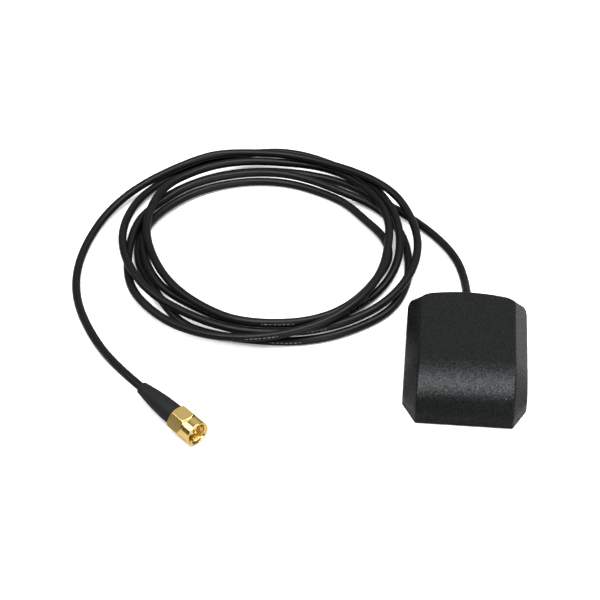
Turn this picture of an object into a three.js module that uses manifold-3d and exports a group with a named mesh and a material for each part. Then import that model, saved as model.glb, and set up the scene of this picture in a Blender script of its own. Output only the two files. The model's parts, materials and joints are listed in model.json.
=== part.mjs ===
// Active satellite-navigation antenna: a magnetic housing, a coiled coaxial cable and a screw-on plug.
// Millimetres, +Z up. The origin is on the housing's underside, on its
// centre line, and +Y is the side the cable leaves.
import * as THREE from 'three';
import { mergeVertices } from 'three/addons/utils/BufferGeometryUtils.js';
import Module from 'manifold-3d';

const wasm = await Module();
wasm.setup();

// ---------------------------------------------------------------- driving dimensions

const HOUSING = {
  front: 22.8, // from the origin to the front wall
  width: 38.4, // along X
  height: 14,
  wall: 1.6,
  rimLift: 0.3, // the cover's lower rim above the foot pad's underside
  creaseY: -4.4, // where the flat top turns down towards the front
  frontWall: 3.5, // height of the upright front wall
  backWall: 8.3, // height of the upright back wall, which leans in above it
  backLean: 1.25, // how much further its inside face is set in above that height
  bevelInset: 4.3, // how far the end bevels reach in from each side
  bevelDrop: 6.93, // how far they fall
  bevelSetback: 7.9, // how far they set the front back at the sides
  hip: 1.05, // slope in plan of the corner where an end bevel meets the leaning back
  rollSteps: 12,
};

// The back in plan, at its foot and on the top face: a broad arc with a rounded corner at each side.
const BACK_FOOT = { y: 26, arc: 110, corner: 2, side: 19.2 };
const BACK_TOP = { y: 23.8, arc: 55, corner: 6, side: 16.25 };

const STACK = { // heights inside the housing, from the underside up
  footTop: 0.5,
  baseTop: 1.9,
  magnetLow: 1.3,
  magnetTop: 3.6,
  canLow: 4.0,
  boardLow: 6.0,
  boardTop: 6.8,
  tapeTop: 7.0,
  patchTop: 11.0,
  electrodeTop: 11.1,
};

const PATCH = { side: 25, electrode: 21, centreY: 0.5, pinY: -2.5, pinRadius: 0.4 };
const BOARD = { width: 29, length: 30, centreY: 0.4 };
const CAN = { side: 20, sheet: 0.25 };
const MAGNET = { radius: 6, spacing: 19 };
const SCREWS = [[-14.6, 17.8], [14.6, 17.8], [-12.2, -17.8], [12.2, -17.8]];
const SCREW = { shank: 0.8, head: 1.6, headLow: 0.55, headTop: 1.35, tip: 6.4, boss: 1.9, bossTop: 12.6 };

const COAX = { // RG-174 size
  jacket: 1.4, // radii
  bore: 1.08,
  braid: 0.9,
  dielectric: 0.72,
  conductor: 0.25,
  exitHeight: 5.05, // axis height where it leaves the housing
};

const JOINT = {
  tiltY: 29, // antenna tilt, just behind the housing
  leadLength: 20, // cable between the antenna's tilt and swing pivots
  tailLength: 32, // cable between the plug's swing and tilt pivots
  socket: 1.6, // a flat cable end stops this far short of the pivot that the next piece's dome sits on
  coreStart: 2.0, // the core starts this far past the pivot, clear of the dome
};

const COIL = { x: -67, y: 54, step: 30, gap: 2.95, stations: 24 }; // centre, angle between knots, spacing

const PLUG = { // along its own axis, from the boot's narrow end
  tip: new THREE.Vector3(-99.65, -18.9, 4.1),
  heading: -43, // degrees from +X
  lead: 2.5, // cable between the boot and the tilt pivot
  bootEnd: 16.9,
  nutBack: 17.2,
  hexEnd: 22.5,
  nutFront: 27.0,
  acrossFlats: 8,
  collar: 4.1,
  thread: 2.95,
  bodyBore: 2.65,
  barrelEnd: 24.2,
  pinEnd: 26.3,
};

const ROUND = 32; // sides on turned metal parts
const JACKET_SIDES = 10;
const CORE_SIDES = 6;

// ---------------------------------------------------------------- materials

function material(color, roughness, metalness) {
  return () => new THREE.MeshStandardMaterial({ color, roughness, metalness });
}

const FINISH = {
  shell: material(0x2a2b2a, 0.55, 0),
  rubber: material(0x1c1c1c, 0.8, 0),
  jacket: material(0x161617, 0.4, 0),
  board: material(0x1f5a33, 0.6, 0),
  ceramic: material(0xcdbfa4, 0.7, 0),
  silver: material(0xc9cbcc, 0.35, 1),
  tin: material(0xa9adb0, 0.4, 1),
  steel: material(0x8f9499, 0.4, 1),
  magnet: material(0x9a9da0, 0.3, 1),
  chip: material(0x191a1c, 0.5, 0),
  tape: material(0xe4e2dc, 0.9, 0),
  gold: material(0xc8a44a, 0.22, 1),
  ptfe: material(0xf1eee6, 0.55, 0),
  polythene: material(0xe9e7df, 0.5, 0),
  copper: material(0xb9714a, 0.35, 1),
  seal: material(0xb4542c, 0.7, 0),
};

// ---------------------------------------------------------------- solids

function toSolid(geometry) {
  const bare = geometry.clone();
  bare.deleteAttribute('normal');
  bare.deleteAttribute('uv');
  const merged = mergeVertices(bare, 1e-4);
  return new wasm.Manifold(new wasm.Mesh({
    numProp: 3,
    vertProperties: new Float32Array(merged.attributes.position.array),
    triVerts: new Uint32Array(merged.index.array),
  }));
}

function toGeometry(solid) {
  const mesh = solid.getMesh();
  const geometry = new THREE.BufferGeometry();
  geometry.setAttribute('position', new THREE.BufferAttribute(new Float32Array(mesh.vertProperties), 3));
  geometry.setIndex(new THREE.BufferAttribute(new Uint32Array(mesh.triVerts), 1));
  geometry.computeVertexNormals();
  return geometry;
}

function combine(base, added, removed) {
  let solid = toSolid(base);
  for (const geometry of added) {
    solid = solid.add(toSolid(geometry));
  }
  for (const geometry of removed) {
    solid = solid.subtract(toSolid(geometry));
  }
  return toGeometry(solid);
}

function intersect(first, second) {
  return toGeometry(toSolid(first).intersect(toSolid(second)));
}

function block(width, length, x, y, low, top) {
  return new THREE.BoxGeometry(width, length, top - low).translate(x, y, (low + top) / 2);
}

function disc(radius, x, y, low, top, sides = 24) {
  const shape = new THREE.CylinderGeometry(radius, radius, top - low, sides);
  return shape.rotateX(Math.PI / 2).translate(x, y, (low + top) / 2);
}

// A turned solid about +Z from [radius, height] corners; the outline closes on itself or on the axis.
function turned(corners, sides = ROUND) {
  const outline = corners.map(([r, z]) => new THREE.Vector2(r, z));
  return new THREE.LatheGeometry(outline, sides).rotateX(Math.PI / 2);
}

// A turned ring: outer radius, inner radius, low and high ends.
function ring(outer, inner, low, high, sides = ROUND) {
  return turned([[inner, low], [outer, low], [outer, high], [inner, high], [inner, low]], sides);
}

function rod(radius, low, high, sides = 16) {
  return turned([[0, low], [radius, low], [radius, high], [0, high]], sides);
}

// ---------------------------------------------------------------- housing shape

// How far back a bowed edge is at x.
function bowed({ y, arc, corner, side }, x) {
  const cornerX = side - corner;
  const cornerY = y - arc + Math.sqrt((arc - corner) ** 2 - cornerX ** 2);
  const touch = cornerX * (arc / (arc - corner));
  const across = Math.min(Math.abs(x), side);
  if (across < touch) {
    return y - arc + Math.sqrt(arc ** 2 - across ** 2);
  }
  return cornerY + Math.sqrt(Math.max(corner ** 2 - (across - cornerX) ** 2, 0));
}

// The housing's outline at x seen from the side, [y, z], counter-clockwise from the front's foot.
// inset moves every face in, and flat is the x where the end bevel starts.
function sideOutline(x, inset, flat, floor) {
  const beyond = Math.max(Math.abs(x) - flat, 0);
  const drop = beyond * (HOUSING.bevelDrop / HOUSING.bevelInset);
  const setback = beyond * (HOUSING.bevelSetback / HOUSING.bevelInset);
  const top = HOUSING.height - inset - drop;
  const foot = bowed(BACK_FOOT, x) - inset;
  const edge = bowed(BACK_TOP, Math.min(Math.abs(x), flat)) - inset * HOUSING.backLean + beyond * HOUSING.hip;
  const rollLength = HOUSING.creaseY + HOUSING.front - inset - setback;
  const rollHeight = top - HOUSING.frontWall;
  const outline = [
    [HOUSING.creaseY - rollLength, floor],
    [foot, floor],
    [foot, Math.min(HOUSING.backWall, top - 0.3)],
    [Math.min(edge, foot - 0.3), top],
  ];
  for (let i = 0; i <= HOUSING.rollSteps; i += 1) {
    const angle = (Math.PI / 2) * (i / HOUSING.rollSteps);
    outline.push([
      HOUSING.creaseY - rollLength * Math.sin(angle),
      HOUSING.frontWall + rollHeight * Math.cos(angle),
    ]);
  }
  return outline;
}

// A solid whose side outline changes from one X station to the next.
function lofted(stations) {
  const count = stations[0].outline.length;
  const positions = [];
  const index = [];
  for (const { x, outline } of stations) {
    for (const [y, z] of outline) {
      positions.push(x, y, z);
    }
  }
  for (let i = 1; i < count - 1; i += 1) {
    index.push(0, i + 1, i);
    const last = (stations.length - 1) * count;
    index.push(last, last + i, last + i + 1);
  }
  for (let s = 0; s < stations.length - 1; s += 1) {
    for (let i = 0; i < count; i += 1) {
      const a = s * count + i;
      const b = s * count + ((i + 1) % count);
      index.push(a, b, b + count);
      index.push(a, b + count, a + count);
    }
  }
  const geometry = new THREE.BufferGeometry();
  geometry.setAttribute('position', new THREE.Float32BufferAttribute(positions, 3));
  geometry.setIndex(index);
  return geometry;
}

// Where the end bevels start once the faces are moved in by inset, with the bevels keeping their slope.
function flatHalf(inset) {
  const run = Math.hypot(HOUSING.bevelDrop, HOUSING.bevelInset);
  return HOUSING.width / 2 - HOUSING.bevelInset - inset * ((run - HOUSING.bevelInset) / HOUSING.bevelDrop);
}

// The bevelled loaf, moved in by inset on every face.
function loaf(inset, floor) {
  const half = HOUSING.width / 2 - inset;
  const flat = flatHalf(inset);
  const onTop = [0.2, 0.4, 0.6, 0.75, 0.87, 0.95, 1].map((part) => part * flat);
  const onBevel = [0.3, 0.55, 0.76, 0.9, 0.97, 1].map((part) => flat + part * (half - flat));
  const right = [...onTop, ...onBevel];
  const places = [...right.map((x) => -x).reverse(), 0, ...right];
  return lofted(places.map((x) => ({ x, outline: sideOutline(x, inset, flat, floor) })));
}

// A flat plate with the loaf's footprint, moved in by inset.
function footprint(inset, low, top) {
  const half = HOUSING.width / 2 - inset;
  const front = HOUSING.front - inset;
  const run = Math.hypot(HOUSING.bevelSetback, HOUSING.bevelInset);
  const nx = HOUSING.bevelSetback / run;
  const ny = HOUSING.bevelInset / run;
  const reach = nx * (HOUSING.width / 2) + ny * (HOUSING.front - HOUSING.bevelSetback) - inset;
  const sideY = -(reach - nx * half) / ny;
  const frontX = (reach - ny * front) / nx;
  const corners = [[-frontX, -front], [frontX, -front], [half, sideY]];
  for (let i = 12; i >= -12; i -= 1) {
    const x = half * Math.sin((Math.PI / 2) * (i / 12));
    corners.push([x, bowed(BACK_FOOT, x) - inset]);
  }
  corners.push([-half, sideY]);
  const shape = new THREE.Shape(corners.map(([x, y]) => new THREE.Vector2(x, y)));
  const plate = new THREE.ExtrudeGeometry(shape, { depth: top - low, bevelEnabled: false });
  return plate.translate(0, 0, low);
}

// ---------------------------------------------------------------- housing parts

const group = new THREE.Group();

function add(parent, name, geometry, finish) {
  const mesh = new THREE.Mesh(geometry, finish());
  mesh.name = name;
  parent.add(mesh);
}

function alongY(geometry, y, z) {
  return geometry.rotateX(-Math.PI / 2).translate(0, y, z);
}

const innerBack = BACK_FOOT.y - HOUSING.wall;

function topCover() {
  const bosses = SCREWS.map(([x, y]) => disc(SCREW.boss, x, y, STACK.baseTop, SCREW.bossTop, 16));
  const pilots = SCREWS.map(([x, y]) => disc(1.0, x, y, STACK.baseTop - 1, SCREW.tip + 0.5, 12));
  const cableHole = alongY(disc(2.35, 0, 0, -2, 2, 20), innerBack + 0.8, COAX.exitHeight);
  const shell = combine(loaf(0, HOUSING.rimLift), [], [loaf(HOUSING.wall, HOUSING.rimLift - 1)]);
  const trimmedBosses = bosses.map((boss) => intersect(boss, loaf(0.8, HOUSING.rimLift)));
  return combine(shell, trimmedBosses, [...pilots, cableHole]);
}

function basePlate() {
  const posts = [[-11.5, -11], [11.5, -11], [-11.5, 12], [11.5, 12]];
  const added = posts.map(([x, y]) => disc(1.3, x, y, STACK.baseTop - 0.4, STACK.boardLow, 12));
  const removed = [-1, 1].map((side) => (
    disc(MAGNET.radius + 0.1, 0, side * MAGNET.spacing / 2, STACK.magnetLow, STACK.baseTop + 1)
  ));
  for (const [x, y] of SCREWS) {
    removed.push(disc(SCREW.shank + 0.15, x, y, 0, STACK.baseTop + 1, 12));
    removed.push(disc(SCREW.head + 0.15, x, y, 0, SCREW.headTop + 0.05, 16));
  }
  return combine(footprint(HOUSING.wall + 0.2, STACK.footTop, STACK.baseTop), added, removed);
}

function baseScrew(x, y) {
  const shape = turned([
    [0, SCREW.headLow], [SCREW.head, SCREW.headLow], [SCREW.head, SCREW.headTop],
    [SCREW.shank, SCREW.headTop], [SCREW.shank, SCREW.tip - 0.8], [0, SCREW.tip],
  ], 12);
  return shape.translate(x, y, 0);
}

function shieldCan() {
  const half = CAN.side;
  const outer = block(half, half, 0, PATCH.centreY, STACK.canLow, STACK.boardLow);
  const hollow = half - 2 * CAN.sheet;
  const inner = block(hollow, hollow, 0, PATCH.centreY, STACK.canLow + CAN.sheet, STACK.boardLow + 1);
  return combine(outer, [], [inner]);
}

function feedHole() {
  return disc(PATCH.pinRadius + 0.15, 0, PATCH.pinY, 0, HOUSING.height, 12);
}

function pierced(side, low, top) {
  return combine(block(side, side, 0, PATCH.centreY, low, top), [], [feedHole()]);
}

function feedPin() {
  const head = STACK.electrodeTop;
  const shape = turned([
    [0, STACK.boardLow - 0.5], [PATCH.pinRadius, STACK.boardLow - 0.5], [PATCH.pinRadius, head],
    [0.9, head], [0.9, head + 0.2], [0.4, head + 0.4], [0, head + 0.4],
  ], 12);
  return shape.translate(0, PATCH.pinY, 0);
}

function grommet() {
  const bore = COAX.jacket + 0.1;
  const gap = 0.1; // the wall behind the flange is slightly bowed
  const shape = turned([
    [bore, -1.2], [3.1, -1.2], [3.1, -gap], [2.3, -gap], [2.3, HOUSING.wall], [bore, HOUSING.wall], [bore, -1.2],
  ], 20);
  return alongY(shape, innerBack, COAX.exitHeight);
}

function underBoard(width, length, height, x, y) {
  return block(width, length, x, y, STACK.boardLow - height, STACK.boardLow);
}

add(group, 'foot_pad', footprint(HOUSING.wall + 0.4, 0, STACK.footTop), FINISH.rubber);
add(group, 'base_plate', basePlate(), FINISH.shell);
add(group, 'top_cover', topCover(), FINISH.shell);
SCREWS.forEach(([x, y], i) => add(group, `base_screw_${i + 1}`, baseScrew(x, y), FINISH.steel));
const magnetY = MAGNET.spacing / 2;
add(group, 'magnet_front', disc(MAGNET.radius, 0, -magnetY, STACK.magnetLow, STACK.magnetTop), FINISH.magnet);
add(group, 'magnet_back', disc(MAGNET.radius, 0, magnetY, STACK.magnetLow, STACK.magnetTop), FINISH.magnet);

const board = block(BOARD.width, BOARD.length, 0, BOARD.centreY, STACK.boardLow, STACK.boardTop);
add(group, 'amplifier_board', combine(board, [], [feedHole()]), FINISH.board);
add(group, 'shield_can', shieldCan(), FINISH.tin);
add(group, 'saw_filter', underBoard(3, 3, 1.1, -4, 3), FINISH.tin);
add(group, 'low_noise_amplifier', underBoard(2, 1.6, 0.8, 3, -4), FINISH.chip);
add(group, 'second_stage_amplifier', underBoard(2, 1.6, 0.8, 4, 4), FINISH.chip);
add(group, 'bias_choke', underBoard(1.6, 0.8, 0.8, -5, -4), FINISH.ceramic);
add(group, 'patch_tape', pierced(PATCH.side, STACK.boardTop, STACK.tapeTop), FINISH.tape);
add(group, 'ceramic_patch', pierced(PATCH.side, STACK.tapeTop, STACK.patchTop), FINISH.ceramic);
add(group, 'patch_electrode', pierced(PATCH.electrode, STACK.patchTop, STACK.electrodeTop), FINISH.silver);
add(group, 'feed_pin', feedPin(), FINISH.silver);
add(group, 'cable_grommet', grommet(), FINISH.rubber);
const stopRing = ring(2.0, COAX.jacket + 0.1, 0, 1.5, 20);
add(group, 'cable_stop_ring', alongY(stopRing, innerBack - 3.2, COAX.exitHeight), FINISH.tin);

// ---------------------------------------------------------------- cable path

// The coil's five turns, one row a turn, from 30 degrees round to 360: distance from the coil's centre and
// axis height at every 30 degrees. Where two turns cross, the upper one is a cable's thickness higher.
const TURN_RADIUS = [
  [49.5, 44.5, 43, 44.5, 46.5, 45.5, 42.5, 46.5, 45, 47.5, 50, 47],
  [44, 37.5, 38.5, 40.5, 44, 47, 50, 50, 48, 45.5, 41.5, 40],
  [43, 46, 46, 46.5, 45.5, 42, 39.5, 40.5, 43.5, 42.5, 41, 41],
  [36, 36, 37, 39, 41.5, 43.5, 42.5, 38.5, 39.5, 40.5, 41.5, 43.5],
  [45.5, 49, 53.5, 53, 53, 49.5, 47.5, 44.5, 44.5, 46, 48.5, 50],
  [49, 45.5, 46.5, 52, 53.5],
];
const TURN_HEIGHT = [
  [1.4, 1.4, 1.4, 1.4, 1.4, 1.4, 1.4, 1.4, 1.4, 1.4, 1.4, 1.4],
  [2, 4, 4, 4, 4, 3.5, 2.5, 3, 5, 7, 7, 6.5],
  [5.5, 4, 3.5, 4.5, 6.5, 6, 6, 6.5, 7, 5.5, 4.5, 3],
  [2, 1.5, 1.4, 1.5, 2, 3.5, 3.5, 2, 1.5, 1.5, 1.5, 4.8],
  [4.5, 3, 2, 1.7, 2.5, 5.5, 5, 4.3, 4, 4, 4.3, 5],
  [6.5, 7, 6, 5, 5],
];
const LEAD_KNOTS = [[-0.4, 36, 3.6], [-1.4, 46, 2.2], [-4, 54, 1.5], [-8.5, 62, 1.4], [-14.5, 69.5, 1.4]];
const TAIL_KNOTS = [[-120.5, 74, 3], [-127.5, 58, 1.8], [-130, 38, 1.4], [-126.5, 20, 1.4], [-118, 3.5, 1.6]];

const heading = THREE.MathUtils.degToRad(PLUG.heading);
const plugAxis = new THREE.Vector3(Math.cos(heading), Math.sin(heading), 0);
const plugPivot = PLUG.tip.clone().addScaledVector(plugAxis, -PLUG.lead);
const tiltPivot = new THREE.Vector3(0, JOINT.tiltY, COAX.exitHeight);

function coilKnots() {
  const knots = [];
  TURN_RADIUS.forEach((row, turn) => row.forEach((radius, i) => {
    const angle = THREE.MathUtils.degToRad(COIL.step * (i + 1));
    const x = COIL.x + radius * Math.cos(angle);
    const y = COIL.y + radius * Math.sin(angle);
    knots.push(new THREE.Vector3(x, y, TURN_HEIGHT[turn][i]));
  }));
  return knots;
}

// A run of straight pieces, stepped corner by corner, so that a sweep along it has one ring at each corner.
class Corners extends THREE.Curve {
  constructor(points) {
    super();
    this.points = points;
  }

  getPoint(t, target = new THREE.Vector3()) {
    const place = Math.min(Math.max(t, 0), 1) * (this.points.length - 1);
    const i = Math.min(Math.floor(place), this.points.length - 2);
    return target.lerpVectors(this.points[i], this.points[i + 1], place - i);
  }

  getPointAt(t, target) {
    return this.getPoint(t, target);
  }

  getTangentAt(t, target) {
    return this.getTangent(t, target);
  }
}

// Nearest points of segments a-b and c-d, as fractions along each.
function nearest(a, b, c, d) {
  const u = b.clone().sub(a);
  const v = d.clone().sub(c);
  const w = a.clone().sub(c);
  const uu = u.dot(u);
  const uv = u.dot(v);
  const vv = v.dot(v);
  const uw = u.dot(w);
  const vw = v.dot(w);
  const spread = uu * vv - uv * uv;
  let s = spread > 1e-6 * uu * vv ? (uv * vw - vv * uw) / spread : 0.5;
  s = Math.min(Math.max(s, 0), 1);
  let t = (uv * s + vw) / vv;
  t = Math.min(Math.max(t, 0), 1);
  s = (uv * t - uw) / uu;
  s = Math.min(Math.max(s, 0), 1);
  return [s, t];
}

// Lets the strands of the coil push each other apart until they only touch, keeping which one lies on top.
function settle(points, rounds) {
  const target = points.map((p) => p.clone());
  const last = points.length - 1;
  const step = new THREE.Vector3();
  for (let round = 0; round < rounds; round += 1) {
    const shaping = round < rounds * 0.7;
    for (let i = 0; i < last; i += 1) {
      for (let j = i + 3; j < last; j += 1) {
        if (points[i].distanceTo(points[j]) > 30) {
          continue;
        }
        const [s, t] = nearest(points[i], points[i + 1], points[j], points[j + 1]);
        const from = points[i].clone().lerp(points[i + 1], s);
        const to = points[j].clone().lerp(points[j + 1], t);
        step.subVectors(to, from);
        const distance = step.length();
        if (distance < COIL.gap) {
          step.multiplyScalar((0.5 * (COIL.gap - distance)) / Math.max(distance, 1e-3));
          points[i].addScaledVector(step, -(1 - s));
          points[i + 1].addScaledVector(step, -s);
          points[j].addScaledVector(step, 1 - t);
          points[j + 1].addScaledVector(step, t);
        }
      }
    }
    for (let i = 2; i < last - 1; i += 1) {
      if (shaping) {
        const middle = points[i - 1].clone().add(points[i + 1]).multiplyScalar(0.5);
        points[i].z += 0.1 * (middle.z - points[i].z);
        points[i].lerp(target[i], 0.03);
      }
      points[i].z = Math.max(points[i].z, COAX.jacket);
    }
    for (const i of [0, 1, last - 1, last]) {
      points[i].copy(target[i]);
    }
  }
  return points;
}

// Points a fixed distance apart along a curve, first and last included.
function evenly(curve, spacing) {
  curve.updateArcLengths();
  return curve.getSpacedPoints(Math.max(2, Math.round(curve.getLength() / spacing)));
}

function knot([x, y, z]) {
  return new THREE.Vector3(x, y, z);
}

const spacing = (2 * Math.PI * 45) / COIL.stations;
const route = new THREE.CatmullRomCurve3([
  tiltPivot,
  ...LEAD_KNOTS.map(knot),
  ...coilKnots(),
  ...TAIL_KNOTS.map(knot),
  plugPivot.clone().addScaledVector(plugAxis, -8).add(new THREE.Vector3(0, 0, -1.2)),
  plugPivot,
], false, 'centripetal');
route.arcLengthDivisions = 4000;
const strand = settle(evenly(route, spacing), 260);

// ---------------------------------------------------------------- cable parts

function circleShape(radius, sides, hole) {
  const polygon = (r) => Array.from({ length: sides }, (_, i) => {
    const angle = (2 * Math.PI * (i + 0.5)) / sides;
    return new THREE.Vector2(r * Math.cos(angle), r * Math.sin(angle));
  });
  const shape = new THREE.Shape(polygon(radius));
  if (hole) {
    const holeSides = Array.from({ length: CORE_SIDES }, (_, i) => {
      const angle = (2 * Math.PI * (i + 0.5)) / CORE_SIDES;
      return new THREE.Vector2(hole * Math.cos(angle), hole * Math.sin(angle));
    });
    shape.holes.push(new THREE.Path(holeSides));
  }
  return shape;
}

function swept(points, radius, sides, hole = 0) {
  return new THREE.ExtrudeGeometry(circleShape(radius, sides, hole), {
    steps: points.length - 1,
    extrudePath: new Corners(points),
  });
}

// How far along a run of corners each corner lies.
function distances(points) {
  const along = [0];
  for (let i = 1; i < points.length; i += 1) {
    along.push(along[i - 1] + points[i].distanceTo(points[i - 1]));
  }
  return along;
}

// The stretch of a run of corners between two distances along it.
function stretch(points, from, to) {
  const along = distances(points);
  const at = (distance) => {
    const i = Math.min(Math.max(along.findIndex((d) => d >= distance), 1), points.length - 1);
    const part = (distance - along[i - 1]) / (along[i] - along[i - 1]);
    return points[i - 1].clone().lerp(points[i], part);
  };
  const margin = 1.2;
  const between = points.filter((_, i) => along[i] > from + margin && along[i] < to - margin);
  return [at(from), ...between, at(to)];
}

function dome(at) {
  return new THREE.IcosahedronGeometry(COAX.jacket * 0.99, 1).translate(at.x, at.y, at.z);
}

// One run of cable: a jacket that starts with a dome on its pivot, and the shielded core inside it.
function cableRun(label, from, to) {
  const points = stretch(strand, from, to - JOINT.socket);
  const jacket = swept(points, COAX.jacket, JACKET_SIDES, COAX.bore);
  add(group, `cable_jacket_${label}`, combine(jacket, [dome(points[0])], []), FINISH.jacket);
  const core = stretch(strand, from + JOINT.coreStart, to - JOINT.socket - 0.3);
  add(group, `cable_core_${label}`, swept(core, COAX.braid, CORE_SIDES), FINISH.tin);
}

const strandLength = distances(strand).at(-1);
cableRun('lead', 0, JOINT.leadLength);
cableRun('coil', JOINT.leadLength, strandLength - JOINT.tailLength);
cableRun('tail', strandLength - JOINT.tailLength, strandLength);

// The stripped end inside the housing, straight along +Y.
function antennaEnd() {
  const run = (from, to) => [0, 0.5, 1].map((t) => new THREE.Vector3(0, from + t * (to - from), COAX.exitHeight));
  const jacketEnd = JOINT.tiltY - JOINT.socket;
  add(group, 'cable_jacket_antenna', swept(run(16, jacketEnd), COAX.jacket, JACKET_SIDES, COAX.bore), FINISH.jacket);
  add(group, 'antenna_braid', swept(run(13, jacketEnd - 0.5), COAX.braid, CORE_SIDES, COAX.dielectric + 0.06), FINISH.tin);
  const dielectric = swept(run(12, jacketEnd - 0.5), COAX.dielectric, CORE_SIDES, COAX.conductor + 0.05);
  add(group, 'antenna_dielectric', dielectric, FINISH.polythene);
  add(group, 'antenna_conductor', swept(run(11, jacketEnd - 0.5), COAX.conductor, CORE_SIDES), FINISH.copper);
}

antennaEnd();

// ---------------------------------------------------------------- plug

// The plug is built along +Z of its own group, from the boot's narrow end with +Y up, then laid on its heading.
const plug = new THREE.Group();
const up = new THREE.Vector3(0, 0, 1);
const across = new THREE.Vector3().crossVectors(up, plugAxis);
plug.setRotationFromMatrix(new THREE.Matrix4().makeBasis(across, up, plugAxis));
plug.position.copy(PLUG.tip);
group.add(plug);

function boot() {
  return turned([
    [1.5, 0.2], [1.7, 0], [1.95, 0.2], [2.0, 0.6], [2.0, 1.2], [2.25, 3.2], [2.6, 5.4], [2.85, 7.4],
    [3.05, 10.5], [3.25, 14], [3.35, PLUG.bootEnd], [2.3, PLUG.bootEnd], [2.3, 8], [1.5, 7], [1.5, 0.2],
  ], 24);
}

function connectorBody() {
  const stem = 1.2;
  return turned([
    [0.8, 10], [stem, 10], [stem, 17.0], [2.55, 17.0], [2.6, 17.15], [2.6, 18.5], [2.25, 18.5], [2.25, 19.5],
    [2.6, 19.5], [2.6, 21.3], [2.29, 21.3], [2.29, PLUG.barrelEnd], [2.05, PLUG.barrelEnd],
    [2.05, 17.6], [0.8, 17.6], [0.8, 10],
  ]);
}

function centrePin() {
  const shoulder = PLUG.barrelEnd - 0.1;
  return turned([
    [0.32, 15.4], [0.62, 15.4], [0.62, shoulder], [0.46, shoulder], [0.46, PLUG.pinEnd - 0.5], [0, PLUG.pinEnd],
    [0, 17.0], [0.32, 17.0], [0.32, 15.4],
  ], 16);
}

function couplingNut() {
  const corner = PLUG.acrossFlats / 2 / Math.cos(Math.PI / 6);
  const hexLength = PLUG.hexEnd - PLUG.nutBack;
  const hex = new THREE.CylinderGeometry(corner, corner, hexLength, 6).rotateX(Math.PI / 2);
  hex.rotateZ(Math.PI / 6).translate(0, 0, (PLUG.nutBack + PLUG.hexEnd) / 2);
  const chamfer = turned([
    [0, PLUG.nutBack], [4.1, PLUG.nutBack], [corner + 0.1, PLUG.nutBack + 0.5],
    [corner + 0.1, PLUG.hexEnd - 0.5], [PLUG.collar, PLUG.hexEnd], [0, PLUG.hexEnd],
  ], 48);
  const collar = rod(PLUG.collar, PLUG.hexEnd - 0.3, PLUG.nutFront, 48);
  const hollow = turned([
    [0, PLUG.nutBack - 1], [PLUG.bodyBore, PLUG.nutBack - 1], [PLUG.bodyBore, 18.65], [3.05, 18.65],
    [3.05, 19.35], [PLUG.bodyBore + 0.03, 19.35], [PLUG.bodyBore + 0.03, 20.2], [PLUG.thread, 20.2],
    [PLUG.thread, PLUG.nutFront - 0.6], [PLUG.thread + 0.6, PLUG.nutFront + 0.01],
    [PLUG.thread + 0.6, PLUG.nutFront + 1], [0, PLUG.nutFront + 1],
  ]);
  return combine(intersect(hex, chamfer), [collar], [hollow]);
}

function retainingRing() {
  const gap = block(1.4, 4, 0, 2.4, 18, 20);
  return combine(ring(2.9, 2.35, 18.7, 19.3), [], [gap]);
}

function plugCable() {
  const run = (from, to) => [0, 0.5, 1].map((t) => new THREE.Vector3(0, 0, from + t * (to - from)));
  const start = -PLUG.lead;
  const jacket = swept(run(start, 9), COAX.jacket, JACKET_SIDES, COAX.bore);
  const end = dome(new THREE.Vector3(0, 0, start));
  add(plug, 'cable_jacket_plug', combine(jacket, [end], []), FINISH.jacket);
  const inside = start + JOINT.coreStart;
  add(plug, 'plug_braid', swept(run(inside, 9.5), COAX.braid, CORE_SIDES, COAX.dielectric + 0.06), FINISH.tin);
  const dielectric = swept(run(inside, 15.2), COAX.dielectric, CORE_SIDES, COAX.conductor + 0.05);
  add(plug, 'plug_dielectric', dielectric, FINISH.polythene);
  add(plug, 'plug_conductor', swept(run(inside, 16.6), COAX.conductor, CORE_SIDES), FINISH.copper);
}

plugCable();
add(plug, 'strain_boot', boot(), FINISH.rubber);
add(plug, 'crimp_ferrule', ring(2.2, COAX.jacket + 0.15, 8.1, 16.8, 24), FINISH.gold);
add(plug, 'connector_body', connectorBody(), FINISH.gold);
add(plug, 'ptfe_insulator', ring(2.0, 0.68, 17.65, PLUG.barrelEnd - 0.1), FINISH.ptfe);
add(plug, 'centre_pin', centrePin(), FINISH.gold);
add(plug, 'sealing_washer', ring(2.8, 2.35, 21.35, 21.75), FINISH.seal);
add(plug, 'retaining_ring', retainingRing(), FINISH.copper);
add(plug, 'coupling_nut', couplingNut(), FINISH.gold);

export default group;
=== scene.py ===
import json
import math

import bmesh
import bpy
import numpy as np
from mathutils import Matrix, Vector


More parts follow.
